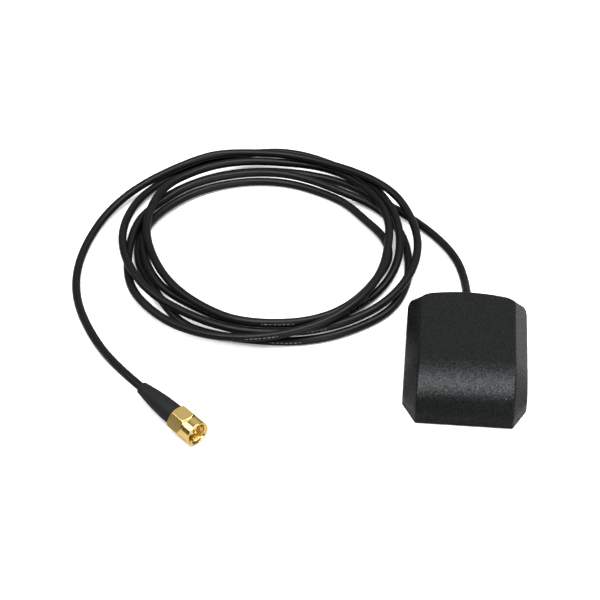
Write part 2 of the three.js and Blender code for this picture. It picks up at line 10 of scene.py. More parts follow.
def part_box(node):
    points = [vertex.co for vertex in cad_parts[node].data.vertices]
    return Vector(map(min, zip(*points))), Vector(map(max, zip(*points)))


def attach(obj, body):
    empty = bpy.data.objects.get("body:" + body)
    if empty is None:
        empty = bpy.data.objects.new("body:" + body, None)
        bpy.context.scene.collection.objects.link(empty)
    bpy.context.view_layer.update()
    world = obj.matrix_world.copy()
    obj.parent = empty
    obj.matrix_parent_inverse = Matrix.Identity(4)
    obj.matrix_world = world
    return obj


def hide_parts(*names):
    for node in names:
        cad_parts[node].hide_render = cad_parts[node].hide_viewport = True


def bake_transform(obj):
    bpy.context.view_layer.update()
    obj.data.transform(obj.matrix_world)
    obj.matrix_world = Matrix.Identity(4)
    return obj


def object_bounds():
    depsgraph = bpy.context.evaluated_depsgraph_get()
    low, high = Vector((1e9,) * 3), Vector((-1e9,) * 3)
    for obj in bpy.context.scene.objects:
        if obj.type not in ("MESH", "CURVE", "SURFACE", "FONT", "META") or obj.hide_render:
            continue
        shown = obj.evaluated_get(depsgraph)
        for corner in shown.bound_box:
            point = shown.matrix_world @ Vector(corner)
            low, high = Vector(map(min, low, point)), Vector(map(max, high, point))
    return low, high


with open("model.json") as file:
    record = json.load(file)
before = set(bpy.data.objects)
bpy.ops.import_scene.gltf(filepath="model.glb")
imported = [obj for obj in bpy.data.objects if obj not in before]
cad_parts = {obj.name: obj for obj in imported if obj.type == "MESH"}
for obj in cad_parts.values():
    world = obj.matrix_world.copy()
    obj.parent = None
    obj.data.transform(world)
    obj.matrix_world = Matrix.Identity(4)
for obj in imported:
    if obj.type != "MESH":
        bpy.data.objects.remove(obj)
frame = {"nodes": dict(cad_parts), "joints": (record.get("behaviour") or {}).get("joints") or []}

cad_low, cad_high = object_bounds()
MM = 0.001

# ---------------------------------------------------------------- joints and the plug's own frame

JOINTS = {joint["name"]: joint for joint in frame["joints"]}
ANTENNA_TILT = np.array(JOINTS["antenna_tilt"]["pos_m"])
ANTENNA_SWING = np.array(JOINTS["antenna_swing"]["pos_m"])
PLUG_SWING = np.array(JOINTS["plug_swing"]["pos_m"])
PLUG_TILT = np.array(JOINTS["plug_tilt"]["pos_m"])
PLUG_TIP = Vector(JOINTS["nut_spin"]["pos_m"])
PLUG_AXIS = Vector(JOINTS["nut_spin"]["axis"]).normalized()
UP = Vector((0, 0, 1))


def plug_frame():
    """The plug's frame: +Z along its axis from the boot's narrow end, +Y up."""
    across = UP.cross(PLUG_AXIS)
    turn = Matrix((across, UP, PLUG_AXIS)).transposed()
    return Matrix.Translation(PLUG_TIP) @ turn.to_4x4()


PLUG_FRAME = plug_frame()

# ---------------------------------------------------------------- mesh helpers


def mesh_object(name, points, faces, sharp=None):
    """A smooth-shaded object; edges bent by more than sharp degrees are shaded as creases."""
    mesh = bpy.data.meshes.new(name)
    mesh.from_pydata([tuple(p) for p in points], [], faces)
    mesh.validate()
    mesh.polygons.foreach_set("use_smooth", [True] * len(mesh.polygons))
    if sharp is not None:
        mesh.set_sharp_from_angle(angle=math.radians(sharp))
    obj = bpy.data.objects.new(name, mesh)
    bpy.context.scene.collection.objects.link(obj)
    return obj


def grid_faces(rows, columns, close_rows, close_columns):
    """Quads over a grid of points, row by row; either direction can close on itself."""
    faces = []
    for i in range(rows if close_rows else rows - 1):
        for j in range(columns if close_columns else columns - 1):
            below, right = (i + 1) % rows, (j + 1) % columns
            faces.append((i * columns + j, i * columns + right, below * columns + right, below * columns + j))
    return faces


def apply_modifiers(obj):
    """Makes the modifiers' result the object's own mesh."""
    bpy.context.view_layer.update()
    graph = bpy.context.evaluated_depsgraph_get()
    mesh = bpy.data.meshes.new_from_object(obj.evaluated_get(graph))
    obj.modifiers.clear()
    obj.data = mesh


def face_out(obj):
    """Turns every face of a closed mesh outwards."""
    shape = bmesh.new()
    shape.from_mesh(obj.data)
    bmesh.ops.recalc_face_normals(shape, faces=shape.faces)
    shape.to_mesh(obj.data)
    shape.free()


def rounded_corner(before, corner, after, radius, steps=5):
    """Points on the curve that rounds off one corner of a flat outline."""
    before, corner, after = (np.array(p, float) for p in (before, corner, after))
    back, ahead = before - corner, after - corner
    reach = min(radius, 0.4 * np.linalg.norm(back), 0.4 * np.linalg.norm(ahead))
    start = corner + back / np.linalg.norm(back) * reach
    end = corner + ahead / np.linalg.norm(ahead) * reach
    curve = []
    for k in range(steps + 1):
        t = k / steps
        curve.append(tuple((1 - t) ** 2 * start + 2 * t * (1 - t) * corner + t**2 * end))
    return curve


def rounded_profile(corners, radius):
    """A closed outline of [r, z] corners with each corner rounded, as a list of points."""
    outline = []
    for i, corner in enumerate(corners):
        outline += rounded_corner(corners[i - 1], corner, corners[(i + 1) % len(corners)], radius, 4)
    return outline


def turned_ring(name, corners, radius=0.05, sides=96):
    """A turned piece of the plug with a hole through it, from its closed outline of [r, z] corners."""
    outline = rounded_profile(corners, radius)
    points = []
    for r, z in outline:
        for k in range(sides):
            angle = 2 * math.pi * k / sides
            points.append(PLUG_FRAME @ Vector((r * math.cos(angle) * MM, r * math.sin(angle) * MM, z * MM)))
    obj = mesh_object(name, points, grid_faces(len(outline), sides, True, True), sharp=40)
    face_out(obj)
    return obj


# ---------------------------------------------------------------- material helpers


def new_material(name):
    material = bpy.data.materials.new(name)
    material.use_nodes = True
    return material, material.node_tree, material.node_tree.nodes["Principled BSDF"]


def add_node(tree, kind, inputs=None, **settings):
    """A new node; inputs maps a socket's name or number to a value or to another node's output."""
    node = tree.nodes.new(kind)
    for key, value in settings.items():
        setattr(node, key, value)
    for key, value in (inputs or {}).items():
        if isinstance(value, bpy.types.NodeSocket):
            tree.links.new(value, node.inputs[key])
        else:
            node.inputs[key].default_value = value
    return node


def noise(tree, feature, detail=2.0, roughness=0.5):
    """Noise whose features are about this many millimetres across."""
    place = add_node(tree, "ShaderNodeTexCoord").outputs["Object"]
    settings = {"Vector": place, "Scale": 1 / (feature * MM), "Detail": detail, "Roughness": roughness}
    return add_node(tree, "ShaderNodeTexNoise", settings).outputs["Fac"]


def cells(tree, size):
    """Irregular cells about this many millimetres across, each with its own colour."""
    place = add_node(tree, "ShaderNodeTexCoord").outputs["Object"]
    return add_node(tree, "ShaderNodeTexVoronoi", {"Vector": place, "Scale": 1 / (size * MM)})


def ramp(tree, factor, low, high, from_low=0.0, from_high=1.0):
    """The factor mapped from one range of values to another."""
    inputs = {0: factor, 1: from_low, 2: from_high, 3: low, 4: high}
    return add_node(tree, "ShaderNodeMapRange", inputs).outputs[0]


def blend_colour(tree, factor, first, second):
    """The first colour where the factor is 0, going over to the second where it is 1."""
    mixer = add_node(tree, "ShaderNodeMix", data_type="RGBA")
    for socket, value in (("Factor", factor), ("A", first), ("B", second)):
        target = [s for s in mixer.inputs if s.name == socket and (s.type == "RGBA" or socket == "Factor")][0]
        if isinstance(value, bpy.types.NodeSocket):
            tree.links.new(value, target)
        else:
            target.default_value = value
    return [s for s in mixer.outputs if s.type == "RGBA"][0]


def bump(tree, height, depth):
    """A bump this many millimetres deep over the height's 0 to 1."""
    inputs = {"Height": height, "Distance": depth * MM, "Strength": 1.0}
    return add_node(tree, "ShaderNodeBump", inputs).outputs["Normal"]


def grey(level):
    return (level, level, level, 1)


def grained(name, base, second, roughness, grain, depth, metallic=0.0, wear=0.0):
    """A fine grain, slow colour change, uneven roughness and, if asked for, brighter worn edges."""
    material, tree, surface = new_material(name)
    slow = noise(tree, 9.0, 3.0)
    fine = noise(tree, grain, 2.0, 0.6)
    colour = blend_colour(tree, ramp(tree, slow, 0.0, 1.0, 0.35, 0.65), base, second)
    if wear:
        edge = add_node(tree, "ShaderNodeNewGeometry").outputs["Pointiness"]
        worn = ramp(tree, edge, 0.0, wear, 0.52, 0.6)
        colour = blend_colour(tree, worn, colour, grey(0.35))
    tree.links.new(colour, surface.inputs["Base Color"])
    tree.links.new(ramp(tree, fine, roughness - 0.06, roughness + 0.08), surface.inputs["Roughness"])
    tree.links.new(bump(tree, fine, depth), surface.inputs["Normal"])
    surface.inputs["Metallic"].default_value = metallic
    return material


# ---------------------------------------------------------------- materials


def housing_plastic():
    """Black ABS from a spark-eroded mould: a fine pebbled grain that catches the light, and a little dust."""
    material, tree, surface = new_material("housing_plastic")
    pebbles = noise(tree, 0.4, 0.0, 0.5)
    slow = noise(tree, 14.0, 2.0)
    dust = ramp(tree, cells(tree, 7.0).outputs["Distance"], 1.0, 0.0, 0.018, 0.026)
    speck = add_node(tree, "ShaderNodeSeparateXYZ", {0: cells(tree, 0.36).outputs["Color"]}).outputs["X"]
    plain = blend_colour(tree, slow, (0.0046, 0.0052, 0.005, 1), (0.006, 0.0066, 0.0064, 1))
    tree.links.new(blend_colour(tree, dust, plain, grey(0.12)), surface.inputs["Base Color"])
    tree.links.new(ramp(tree, pebbles, 0.24, 0.34, 0.3, 0.7), surface.inputs["Roughness"])
    tree.links.new(bump(tree, pebbles, 0.075), surface.inputs["Normal"])
    tree.links.new(ramp(tree, speck, 0.07, 0.25), surface.inputs["Specular IOR Level"])
    surface.inputs["Specular Tint"].default_value = (0.93, 0.96, 1.0, 1)
    return material


# The jacket's print: groups of plain dashes along one side of the cable, in place of lettering.
PRINT = {
    "repeat": 0.2792,  # metres from one group to the next
    "start": 0.5361,  # metres along the cable to the start of a group
    "group": 0.0365,  # the share of the repeat that a group fills
    "dash": 0.0014,  # metres from one dash to the next
    "ink": 0.6,  # the share of that which is printed
    "side": 78,  # degrees round the jacket from its top
    "half_width": 9,  # degrees
}


def cable_jacket():
    """Satin black PVC with fine draw lines along it and a faint printed row of dashes."""
    material, tree, surface = new_material("cable_jacket")
    along = add_node(tree, "ShaderNodeAttribute", attribute_name="along").outputs["Fac"]
    upward = add_node(tree, "ShaderNodeAttribute", attribute_name="upward").outputs["Fac"]
    sideways = add_node(tree, "ShaderNodeAttribute", attribute_name="sideways").outputs["Fac"]

    def maths(operation, first, second):
        return add_node(tree, "ShaderNodeMath", {0: first, 1: second}, operation=operation).outputs[0]

    side = math.radians(PRINT["side"])
    from_top = maths("MULTIPLY", upward, math.cos(side))
    from_side = maths("MULTIPLY", sideways, math.sin(side))
    facing = maths("ADD", from_top, from_side)
    in_row = maths("GREATER_THAN", facing, math.cos(math.radians(PRINT["half_width"])))
    first_group = PRINT["start"] - 2 * PRINT["repeat"]  # before the cable begins, so the count stays above 0
    repeats = maths("DIVIDE", maths("SUBTRACT", along, first_group), PRINT["repeat"])
    in_group = maths("LESS_THAN", maths("FRACT", repeats, 0.0), PRINT["group"])
    in_dash = maths("LESS_THAN", maths("FRACT", maths("DIVIDE", along, PRINT["dash"]), 0.0), PRINT["ink"])
    ink = maths("MULTIPLY", maths("MULTIPLY", in_row, in_group), in_dash)
    faded = maths("MULTIPLY", ink, ramp(tree, noise(tree, 0.5), 0.1, 0.9, 0.35, 0.6))
    colour = blend_colour(tree, faded, (0.0035, 0.0035, 0.0038, 1), grey(0.32))
    tree.links.new(colour, surface.inputs["Base Color"])
    scuffs = noise(tree, 2.2, 4.0, 0.6)
    tree.links.new(ramp(tree, scuffs, 0.3, 0.44, 0.3, 0.7), surface.inputs["Roughness"])
    tree.links.new(bump(tree, scuffs, 0.02), surface.inputs["Normal"])
    surface.inputs["Specular IOR Level"].default_value = 0.17
    return material


def boot_rubber():
    """Matte black moulded sleeve with a bluish cast."""
    material, tree, surface = new_material("boot_rubber")
    fine = noise(tree, 0.25, 3.0, 0.6)
    slow = noise(tree, 5.0, 2.0)
    colour = blend_colour(tree, slow, (0.005, 0.0052, 0.0063, 1), (0.0072, 0.0074, 0.0085, 1))
    tree.links.new(colour, surface.inputs["Base Color"])
    tree.links.new(ramp(tree, fine, 0.5, 0.68), surface.inputs["Roughness"])
    tree.links.new(bump(tree, fine, 0.012), surface.inputs["Normal"])
    surface.inputs["Specular IOR Level"].default_value = 0.2
    return material


def gold_plate():
    """Polished gold over brass: faint turning marks, and a plating that varies a little in tone."""
    material, tree, surface = new_material("gold_plate")
    slow = noise(tree, 2.5, 2.0)
    marks = noise(tree, 0.06, 2.0)
    colour = blend_colour(tree, slow, (0.97, 0.68, 0.22, 1), (0.99, 0.73, 0.27, 1))
    tree.links.new(colour, surface.inputs["Base Color"])
    tree.links.new(ramp(tree, marks, 0.12, 0.24), surface.inputs["Roughness"])
    tree.links.new(bump(tree, marks, 0.0012), surface.inputs["Normal"])
    surface.inputs["Metallic"].default_value = 1.0
    return material


HOUSING = housing_plastic()
JACKET = cable_jacket()
BOOT = boot_rubber()
GOLD = gold_plate()
RUBBER = grained("pad_rubber", grey(0.010), grey(0.016), 0.72, 0.3, 0.03)
PTFE = grained("ptfe", (0.80, 0.78, 0.72, 1), (0.86, 0.84, 0.79, 1), 0.5, 0.2, 0.006)
POLYTHENE = grained("polythene", (0.74, 0.73, 0.69, 1), (0.8, 0.79, 0.76, 1), 0.45, 0.3, 0.01)
SILICONE = grained("silicone", (0.42, 0.10, 0.03, 1), (0.5, 0.14, 0.045, 1), 0.55, 0.2, 0.01)
COPPER = grained("copper", (0.72, 0.36, 0.2, 1), (0.62, 0.29, 0.15, 1), 0.32, 0.1, 0.006, metallic=1.0)
TIN = grained("tinned_metal", (0.58, 0.59, 0.6, 1), (0.67, 0.68, 0.69, 1), 0.36, 0.18, 0.008, metallic=1.0)
STEEL = grained("zinc_steel", (0.5, 0.51, 0.52, 1), (0.58, 0.58, 0.56, 1), 0.34, 0.15, 0.006, 1.0, 0.3)
NICKEL = grained("nickel", (0.6, 0.6, 0.6, 1), (0.66, 0.65, 0.62, 1), 0.2, 0.3, 0.003, metallic=1.0)
SILVER = grained("fired_silver", (0.74, 0.74, 0.71, 1), (0.81, 0.8, 0.77, 1), 0.42, 0.08, 0.006, metallic=1.0)
CERAMIC = grained("fired_ceramic", (0.6, 0.52, 0.39, 1), (0.67, 0.59, 0.46, 1), 0.66, 0.12, 0.01)
BOARD = grained("solder_mask", (0.012, 0.13, 0.05, 1), (0.02, 0.18, 0.07, 1), 0.38, 0.5, 0.01)
EPOXY = grained("chip_epoxy", grey(0.018), grey(0.026), 0.5, 0.1, 0.006)
TAPE = grained("foam_tape", (0.76, 0.75, 0.7, 1), (0.82, 0.81, 0.78, 1), 0.85, 0.15, 0.04)

NODE_MATERIALS = {
    HOUSING: ["base_plate"],
    RUBBER: ["foot_pad", "cable_grommet"],
    STEEL: ["base_screw_1", "base_screw_2", "base_screw_3", "base_screw_4"],
    NICKEL: ["magnet_front", "magnet_back"],
    BOARD: ["amplifier_board"],
    TIN: ["shield_can", "saw_filter", "cable_stop_ring", "antenna_braid", "plug_braid"],
    EPOXY: ["low_noise_amplifier", "second_stage_amplifier"],
    CERAMIC: ["bias_choke", "ceramic_patch"],
    TAPE: ["patch_tape"],
    SILVER: ["patch_electrode", "feed_pin"],
    POLYTHENE: ["antenna_dielectric", "plug_dielectric"],
    COPPER: ["antenna_conductor", "plug_conductor", "retaining_ring"],
    GOLD: ["crimp_ferrule"],
}
SOFTENED_EDGES = {  # millimetres
    "base_plate": 0.15,
    "foot_pad": 0.12,
    "magnet_front": 0.2,
    "magnet_back": 0.2,
    "shield_can": 0.08,
}


def finish_cad_nodes():
    """Gives the CAD nodes that stay their own procedural materials, and softens the edges of some."""
    for material, names in NODE_MATERIALS.items():
        for name in names:
            node = frame["nodes"][name]
            node.data.materials.clear()
            node.data.materials.append(material)
            if name in SOFTENED_EDGES:
                edge = node.modifiers.new("soft_edge", "BEVEL")
                edge.width = SOFTENED_EDGES[name] * MM
                edge.segments = 2
                edge.limit_method = "ANGLE"
                edge.angle_limit = math.radians(40)


# ---------------------------------------------------------------- housing

SHELL = {  # millimetres
    "wall": 1.6,
    "crease": -4.4,  # Y where the flat top turns down
    "front_wall": 3.5,
    "back_wall": 8.3,  # the back leans in above this height
    "back_lean": 1.25,
    "inset": 4.3,  # the end bevels' reach in from the sides
    "drop": 6.93,  # and their fall
    "setback": 7.9,  # how far they set the front back at the sides
    "hip": 1.05,
    "edge": 0.32,  # rounding of the outer edges
    "roll_steps": 44,
    "hole": 2.32,
}
# The back in plan, at its foot and on the top face: a broad arc with a rounded corner at each side.
BACK_FOOT = {"y": 26.0, "arc": 110.0, "corner": 2.0, "side": 19.2}
BACK_TOP = {"y": 23.8, "arc": 55.0, "corner": 6.0, "side": 16.25}


def bowed(edge, x):
    """How far back a bowed edge is at x."""
    corner_x = edge["side"] - edge["corner"]
    corner_y = edge["y"] - edge["arc"] + math.sqrt((edge["arc"] - edge["corner"]) ** 2 - corner_x**2)
    touch = corner_x * edge["arc"] / (edge["arc"] - edge["corner"])
    x = min(abs(x), edge["side"])
    if x < touch:
        return edge["y"] - edge["arc"] + math.sqrt(edge["arc"] ** 2 - x**2)
    return corner_y + math.sqrt(max(edge["corner"] ** 2 - (x - corner_x) ** 2, 0))


def eased(distance, width):
    """The part of a distance past zero, bent over gradually within this width each way."""
    if distance <= -width:
        return 0.0
    return distance if distance >= width else (distance + width) ** 2 / (4 * width)


def side_outline(x, low, height, inset, flat, floor):
    """The housing at x from the side as [y, z], from the front's foot round to the front wall's top."""
    beyond = eased(abs(x) - flat, SHELL["edge"])
    top = height - inset - beyond * SHELL["drop"] / SHELL["inset"]
    setback = beyond * SHELL["setback"] / SHELL["inset"]
    foot = bowed(BACK_FOOT, x) - inset
    edge = bowed(BACK_TOP, abs(x) - beyond) - inset * SHELL["back_lean"] + beyond * SHELL["hip"]
    roll = SHELL["crease"] - low - inset - setback
    rise = top - SHELL["front_wall"]
    shoulder, ridge = (foot, min(SHELL["back_wall"], top - 0.5)), (min(edge, foot - 0.3), top)
    outline = [(SHELL["crease"] - roll, floor), (foot, floor)]
    outline += rounded_corner(outline[1], shoulder, ridge, 0.5)
    outline += rounded_corner(shoulder, ridge, (SHELL["crease"], top), SHELL["edge"] + 0.1)
    for i in range(SHELL["roll_steps"] + 1):
        angle = math.pi / 2 * i / SHELL["roll_steps"]
        y = SHELL["crease"] - roll * math.sin(angle)
        z = SHELL["front_wall"] + rise * math.cos(angle)
        outline.append((y, z))
    return outline


def drawn_in(outline, depth):
    """An outline moved in by depth, with its foot kept on the floor."""
    moved = []
    for i, (y, z) in enumerate(outline):
        (y0, z0), (y1, z1) = outline[i - 1], outline[(i + 1) % len(outline)]
        length = math.hypot(y1 - y0, z1 - z0)
        if i < 2:
            moved.append((y - math.copysign(depth, y), z))
        else:
            moved.append((y - depth * (z1 - z0) / length, z + depth * (y1 - y0) / length))
    return moved


def loaf_rows(low, high, inset, floor):
    """The housing's outlines across X, moved in by inset: a list of rows of points."""
    run = math.hypot(SHELL["drop"], SHELL["inset"])
    half = high.x / MM - inset
    flat = high.x / MM - SHELL["inset"] - inset * (run - SHELL["inset"]) / SHELL["drop"]
    edge = SHELL["edge"]
    places = [(k / 12 * (flat - 2 * edge), 0.0) for k in range(13)]
    places += [(flat + t * edge, 0.0) for t in (-1.0, -0.6, -0.3, 0.0, 0.3, 0.6, 1.0, 2.0)]
    places += [(flat + t * (half - flat), 0.0) for t in (0.35, 0.5, 0.6, 0.68, 0.75, 0.82, 0.88)]
    for angle in (0, 18, 36, 54, 72, 90):
        turn = math.radians(angle)
        places.append((half - edge * (1 - math.sin(turn)), edge * (1 - math.cos(turn))))
    rows = []
    for side, run_of in ((-1, places[:0:-1]), (1, places)):
        for x, depth in run_of:
            outline = side_outline(side * x, low.y / MM, high.z / MM, inset, flat, floor)
            rows.append([Vector((side * x * MM, y * MM, z * MM)) for y, z in drawn_in(outline, depth)])
    return rows


def loft_faces(stations, count, offset):
    """End caps and sides of a loft, without its floor."""
    faces = [tuple(range(count)), tuple(range(stations * count - 1, (stations - 1) * count - 1, -1))]
    for station in range(stations - 1):
        for i in range(1, count):
            a = station * count + i
            b = station * count + (i + 1) % count
            faces.append((a, a + count, b + count, b))
    return [tuple(offset + v for v in face) for face in faces]


def housing_shell():
    """The top cover: a bevelled loaf, hollow from below, with a round hole for the cable's grommet."""
    low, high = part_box("top_cover")
    floor = low.z / MM
    outer, inner = loaf_rows(low, high, 0.0, floor), loaf_rows(low, high, SHELL["wall"], floor)
    stations, count = len(outer), len(outer[0])
    inside = stations * count
    faces = loft_faces(stations, count, 0) + loft_faces(stations, count, inside)
    rim = [s * count for s in range(stations)] + [s * count + 1 for s in range(stations - 1, -1, -1)]
    for k, start in enumerate(rim):
        end = rim[(k + 1) % len(rim)]
        faces.append((start, end, inside + end, inside + start))
    shell = mesh_object("housing_shell", [point for row in outer + inner for point in row], faces)
    face_out(shell)
    bpy.ops.mesh.primitive_cylinder_add(vertices=48, radius=SHELL["hole"] * MM, depth=6 * MM)
    drill = bpy.context.object
    drill.rotation_euler.x = math.pi / 2
    drill.location = (ANTENNA_TILT[0], high.y, ANTENNA_TILT[2])
    cut = shell.modifiers.new("cable_hole", "BOOLEAN")
    cut.object = drill
    cut.solver = "EXACT"
    apply_modifiers(shell)
    bpy.data.objects.remove(drill)
    shell.data.polygons.foreach_set("use_smooth", [True] * len(shell.data.polygons))
    shell.data.set_sharp_from_angle(angle=math.radians(32))
    normals = shell.modifiers.new("flat_faces", "WEIGHTED_NORMAL")
    normals.keep_sharp = True
    apply_modifiers(shell)
    shell.data.materials.append(HOUSING)
    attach(shell, "antenna")
    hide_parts("top_cover")


# ---------------------------------------------------------------- cable

CABLE = {  # metres
    "radius": 0.0014,
    "pitch": 0.001,  # distance between rings
    "sides": 20,
    "inside_housing": 0.005,
    "inside_boot": 0.006,
    "bend": 0.012,  # length over which a swing's bend is spread, each way
    "flex": 0.004,  # the same for a tilt, which is close to the boot or the housing
    "knot_gap": 0.0065,
    "straight_at_plug": 0.012,
    "clearance": 0.00003,  # kept between strands that touch
    "same_strand": 16,  # rings closer than this along the cable belong to one strand
    "held": 26,  # rings at each end that stay where they are
    "upright": 0.02,  # how fast the jacket's printed side turns back to face up
}


def ring_centres(node, start):
    """The centres of a swept node's rings, in order from its end nearest start."""
    mesh = frame["nodes"][node].data
    places, corner_of = {}, []
    for vertex in mesh.vertices:
        key = tuple(round(c * 1e7) for c in vertex.co)
        corner_of.append(places.setdefault(key, len(places)))
    points = np.zeros((len(places), 3))
    for vertex, corner in zip(mesh.vertices, corner_of):
        points[corner] = vertex.co
    near = [set() for _ in points]
    for edge in mesh.edges:
        a, b = (corner_of[v] for v in edge.vertices)
        near[a].add(b)
        near[b].add(a)
    ring = set(np.argsort(np.linalg.norm(points - start, axis=1))[:6].tolist())
    seen, centres = set(ring), []
    while ring:
        centres.append(points[sorted(ring)].mean(axis=0))
        ring = set().union(*(near[v] for v in ring)) - seen
        seen |= ring
    return centres


def spline(knots, pitch):
    """A natural cubic spline through the knots, sampled every pitch."""
    gaps = np.linalg.norm(np.diff(knots, axis=0), axis=1)
    along = np.concatenate([[0], np.cumsum(gaps)])
    count = len(knots)
    system, target = np.eye(count), np.zeros((count, 3))
    for i in range(1, count - 1):
        system[i, i - 1 : i + 2] = gaps[i - 1], 2 * (gaps[i - 1] + gaps[i]), gaps[i]
        target[i] = 6 * ((knots[i + 1] - knots[i]) / gaps[i] - (knots[i] - knots[i - 1]) / gaps[i - 1])
    bend = np.linalg.solve(system, target)
    samples = np.linspace(0, along[-1], int(along[-1] / pitch) + 1)
    i = np.clip(np.searchsorted(along, samples) - 1, 0, count - 2)
    h = gaps[i][:, None]
    a = (along[i + 1] - samples)[:, None] / h
    b = 1 - a
    curve = a * knots[i] + b * knots[i + 1]
    return curve + ((a**3 - a) * bend[i] + (b**3 - b) * bend[i + 1]) * h**2 / 6


def part_strands(line, rounds=30):
    """Moves touching strands apart by what is left of their overlap, and keeps them above the ground."""
    count = len(line)
    order = np.arange(count)
    other = np.abs(order[:, None] - order[None]) > CABLE["same_strand"]
    touch = 2 * CABLE["radius"] + CABLE["clearance"]
    for _ in range(rounds):
        apart = line[:, None] - line[None]
        distance = np.linalg.norm(apart, axis=2)
        overlap = np.where(other & (distance < touch), touch - distance, 0)
        share = overlap / np.maximum(distance, 1e-6)
        push = (apart * share[:, :, None]).sum(axis=1) / np.maximum((overlap > 0).sum(axis=1), 1)[:, None]
        spread = np.stack([np.convolve(push[:, k], (0.25, 0.5, 0.25), "same") for k in range(3)], axis=1)
        spread[: CABLE["held"]] = 0
        spread[-CABLE["held"] :] = 0
        line = line + 0.5 * spread
    line[:, 2] = np.maximum(line[:, 2], CABLE["radius"])
    return line


def cable_line():
    """The cable's centreline from inside the housing to inside the boot, in metres."""
    runs = [
        ("cable_core_lead", ANTENNA_TILT),
        ("cable_core_coil", ANTENNA_SWING),
        ("cable_core_tail", PLUG_SWING),
    ]
    knots = [ANTENNA_TILT - (0, CABLE["inside_housing"], 0), ANTENNA_TILT]
    for node, start in runs:
        for centre in ring_centres(node, start):
            if np.linalg.norm(centre - knots[-1]) > CABLE["knot_gap"]:
                knots.append(centre)
    axis = np.array(PLUG_AXIS)
    while np.linalg.norm(PLUG_TILT - knots[-1]) < CABLE["straight_at_plug"]:
        knots.pop()
    knots += [PLUG_TILT, PLUG_TILT + axis * CABLE["inside_boot"]]
    return part_strands(spline(np.array(knots), CABLE["pitch"]))


def tube_rings(line, radius, sides):
    """Points round a centreline, ring by ring, with each point's share of the up and sideways directions."""
    tangents = np.gradient(line, axis=0)
    tangents /= np.linalg.norm(tangents, axis=1)[:, None]
    up = np.array(UP)
    rings, upward, sideways = [], [], []
    for centre, tangent in zip(line, tangents):
        up = up - tangent * (up @ tangent)
        up /= np.linalg.norm(up)
        side = np.cross(tangent, up)
        for k in range(sides):
            angle = 2 * math.pi * k / sides
            rings.append(centre + radius * (math.cos(angle) * up + math.sin(angle) * side))
            upward.append(math.cos(angle))
            sideways.append(math.sin(angle))
        up = (1 - CABLE["upright"]) * up + CABLE["upright"] * np.array(UP)
    return rings, upward, sideways


def add_attribute(obj, name, values):
    attribute = obj.data.attributes.new(name, "FLOAT", "POINT")
    attribute.data.foreach_set("value", values)


def cable_pieces():
    """The jacket in five lengths that meet ring to ring: four cross a bending joint and one is the coil."""
    line = cable_line()
    sides = CABLE["sides"]
    rings, upward, sideways = tube_rings(line, CABLE["radius"], sides)
    along = np.concatenate([[0], np.cumsum(np.linalg.norm(np.diff(line, axis=0), axis=1))])

    def ring_at(point):
        return int(np.argmin(np.linalg.norm(line - point, axis=1)))

    def step(length):
        return int(round(length / CABLE["pitch"]))

    last = len(line) - 1
    tilt, swing = ring_at(ANTENNA_TILT), ring_at(ANTENNA_SWING)
    tail, plug = ring_at(PLUG_SWING), ring_at(PLUG_TILT)
    bend, flex = step(CABLE["bend"]), step(CABLE["flex"])
    mid_lead, mid_tail = (tilt + swing) // 2, (tail + plug) // 2
    lengths = [  # piece, CAD part, first and last ring, the bodies it joins, and the rings it bends between
        ("cable_at_antenna", "antenna", 0, mid_lead, ("antenna", "lead"), (tilt - flex, tilt + flex)),
        ("cable_lead", "lead", mid_lead, swing + 2 * bend, ("lead", "cable"), (mid_lead + 1, swing + bend)),
        ("cable_coil", "coil", swing + 2 * bend, tail - 2 * bend, None, None),
        ("cable_tail", "tail", tail - 2 * bend, mid_tail, ("cable", "tail"), (tail - bend, mid_tail - 1)),
        ("cable_at_plug", "plug", mid_tail, last, ("tail", "plug"), (plug - flex, plug + flex)),
    ]
    for name, part, first, end, bodies, zone in lengths:
        count = end - first + 1
        chosen = slice(first * sides, (end + 1) * sides)
        faces = grid_faces(count, sides, False, True)
        faces += [tuple(range(sides)), tuple(range(count * sides - 1, (count - 1) * sides - 1, -1))]
        obj = mesh_object(name, rings[chosen], faces, sharp=60)
        face_out(obj)
        add_attribute(obj, "along", np.repeat(along[first : end + 1], sides))
        add_attribute(obj, "upward", upward[chosen])
        add_attribute(obj, "sideways", sideways[chosen])
        obj.data.materials.append(JACKET)
        if bodies:
            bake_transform(obj)
        else:
            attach(obj, "cable")
        replaced = ["cable_jacket_" + part]
        if part in ("lead", "coil", "tail"):
            replaced.append("cable_core_" + part)
        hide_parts(*replaced)


# ---------------------------------------------------------------- plug

NUT = {  # millimetres: places along the plug's axis, and radii
    "back": 17.4,
    "hex_end": 23.3,
    "front": 27.0,
    "flats": 8.0,
    "blank": 4.75,  # outside the hexagon's corners
    "back_face": 4.1,  # inside the back chamfer
    "groove": 3.85,  # turned between the hexagon and the collar
    "collar": 4.1,
    "crest": 2.95,  # the thread's smallest radius
    "depth": 0.24,
    "pitch": 0.7056,
    "bore": 2.66,
    "shoulder": 20.2,  # where the thread stops
    "ring_groove": 3.05,  # for the retaining ring
    "ring_back": 18.62,
    "ring_front": 19.38,
    "soft": 0.13,  # rounding of the hexagon's edges
    "side_steps": 40,  # points along each side of the hexagon
    "crowding": 1.7,  # how much closer together they are at its corners
}


def soft_min(first, second, softness):
    """The smaller of two values, rounded where they cross."""
    h = np.clip(0.5 + 0.5 * (second - first) / softness, 0, 1)
    return second + (first - second) * h - softness * h * (1 - h)


def hex_radius(angle, flats, softness):
    """Distance from the axis to a hexagon with softened corners; one flat faces down."""
    turn = angle % (math.pi / 3) - math.pi / 6
    here = flats / 2 / math.cos(turn)
    beyond = flats / 2 / math.cos(math.pi / 3 - abs(turn))
    return float(soft_min(here, beyond, softness))


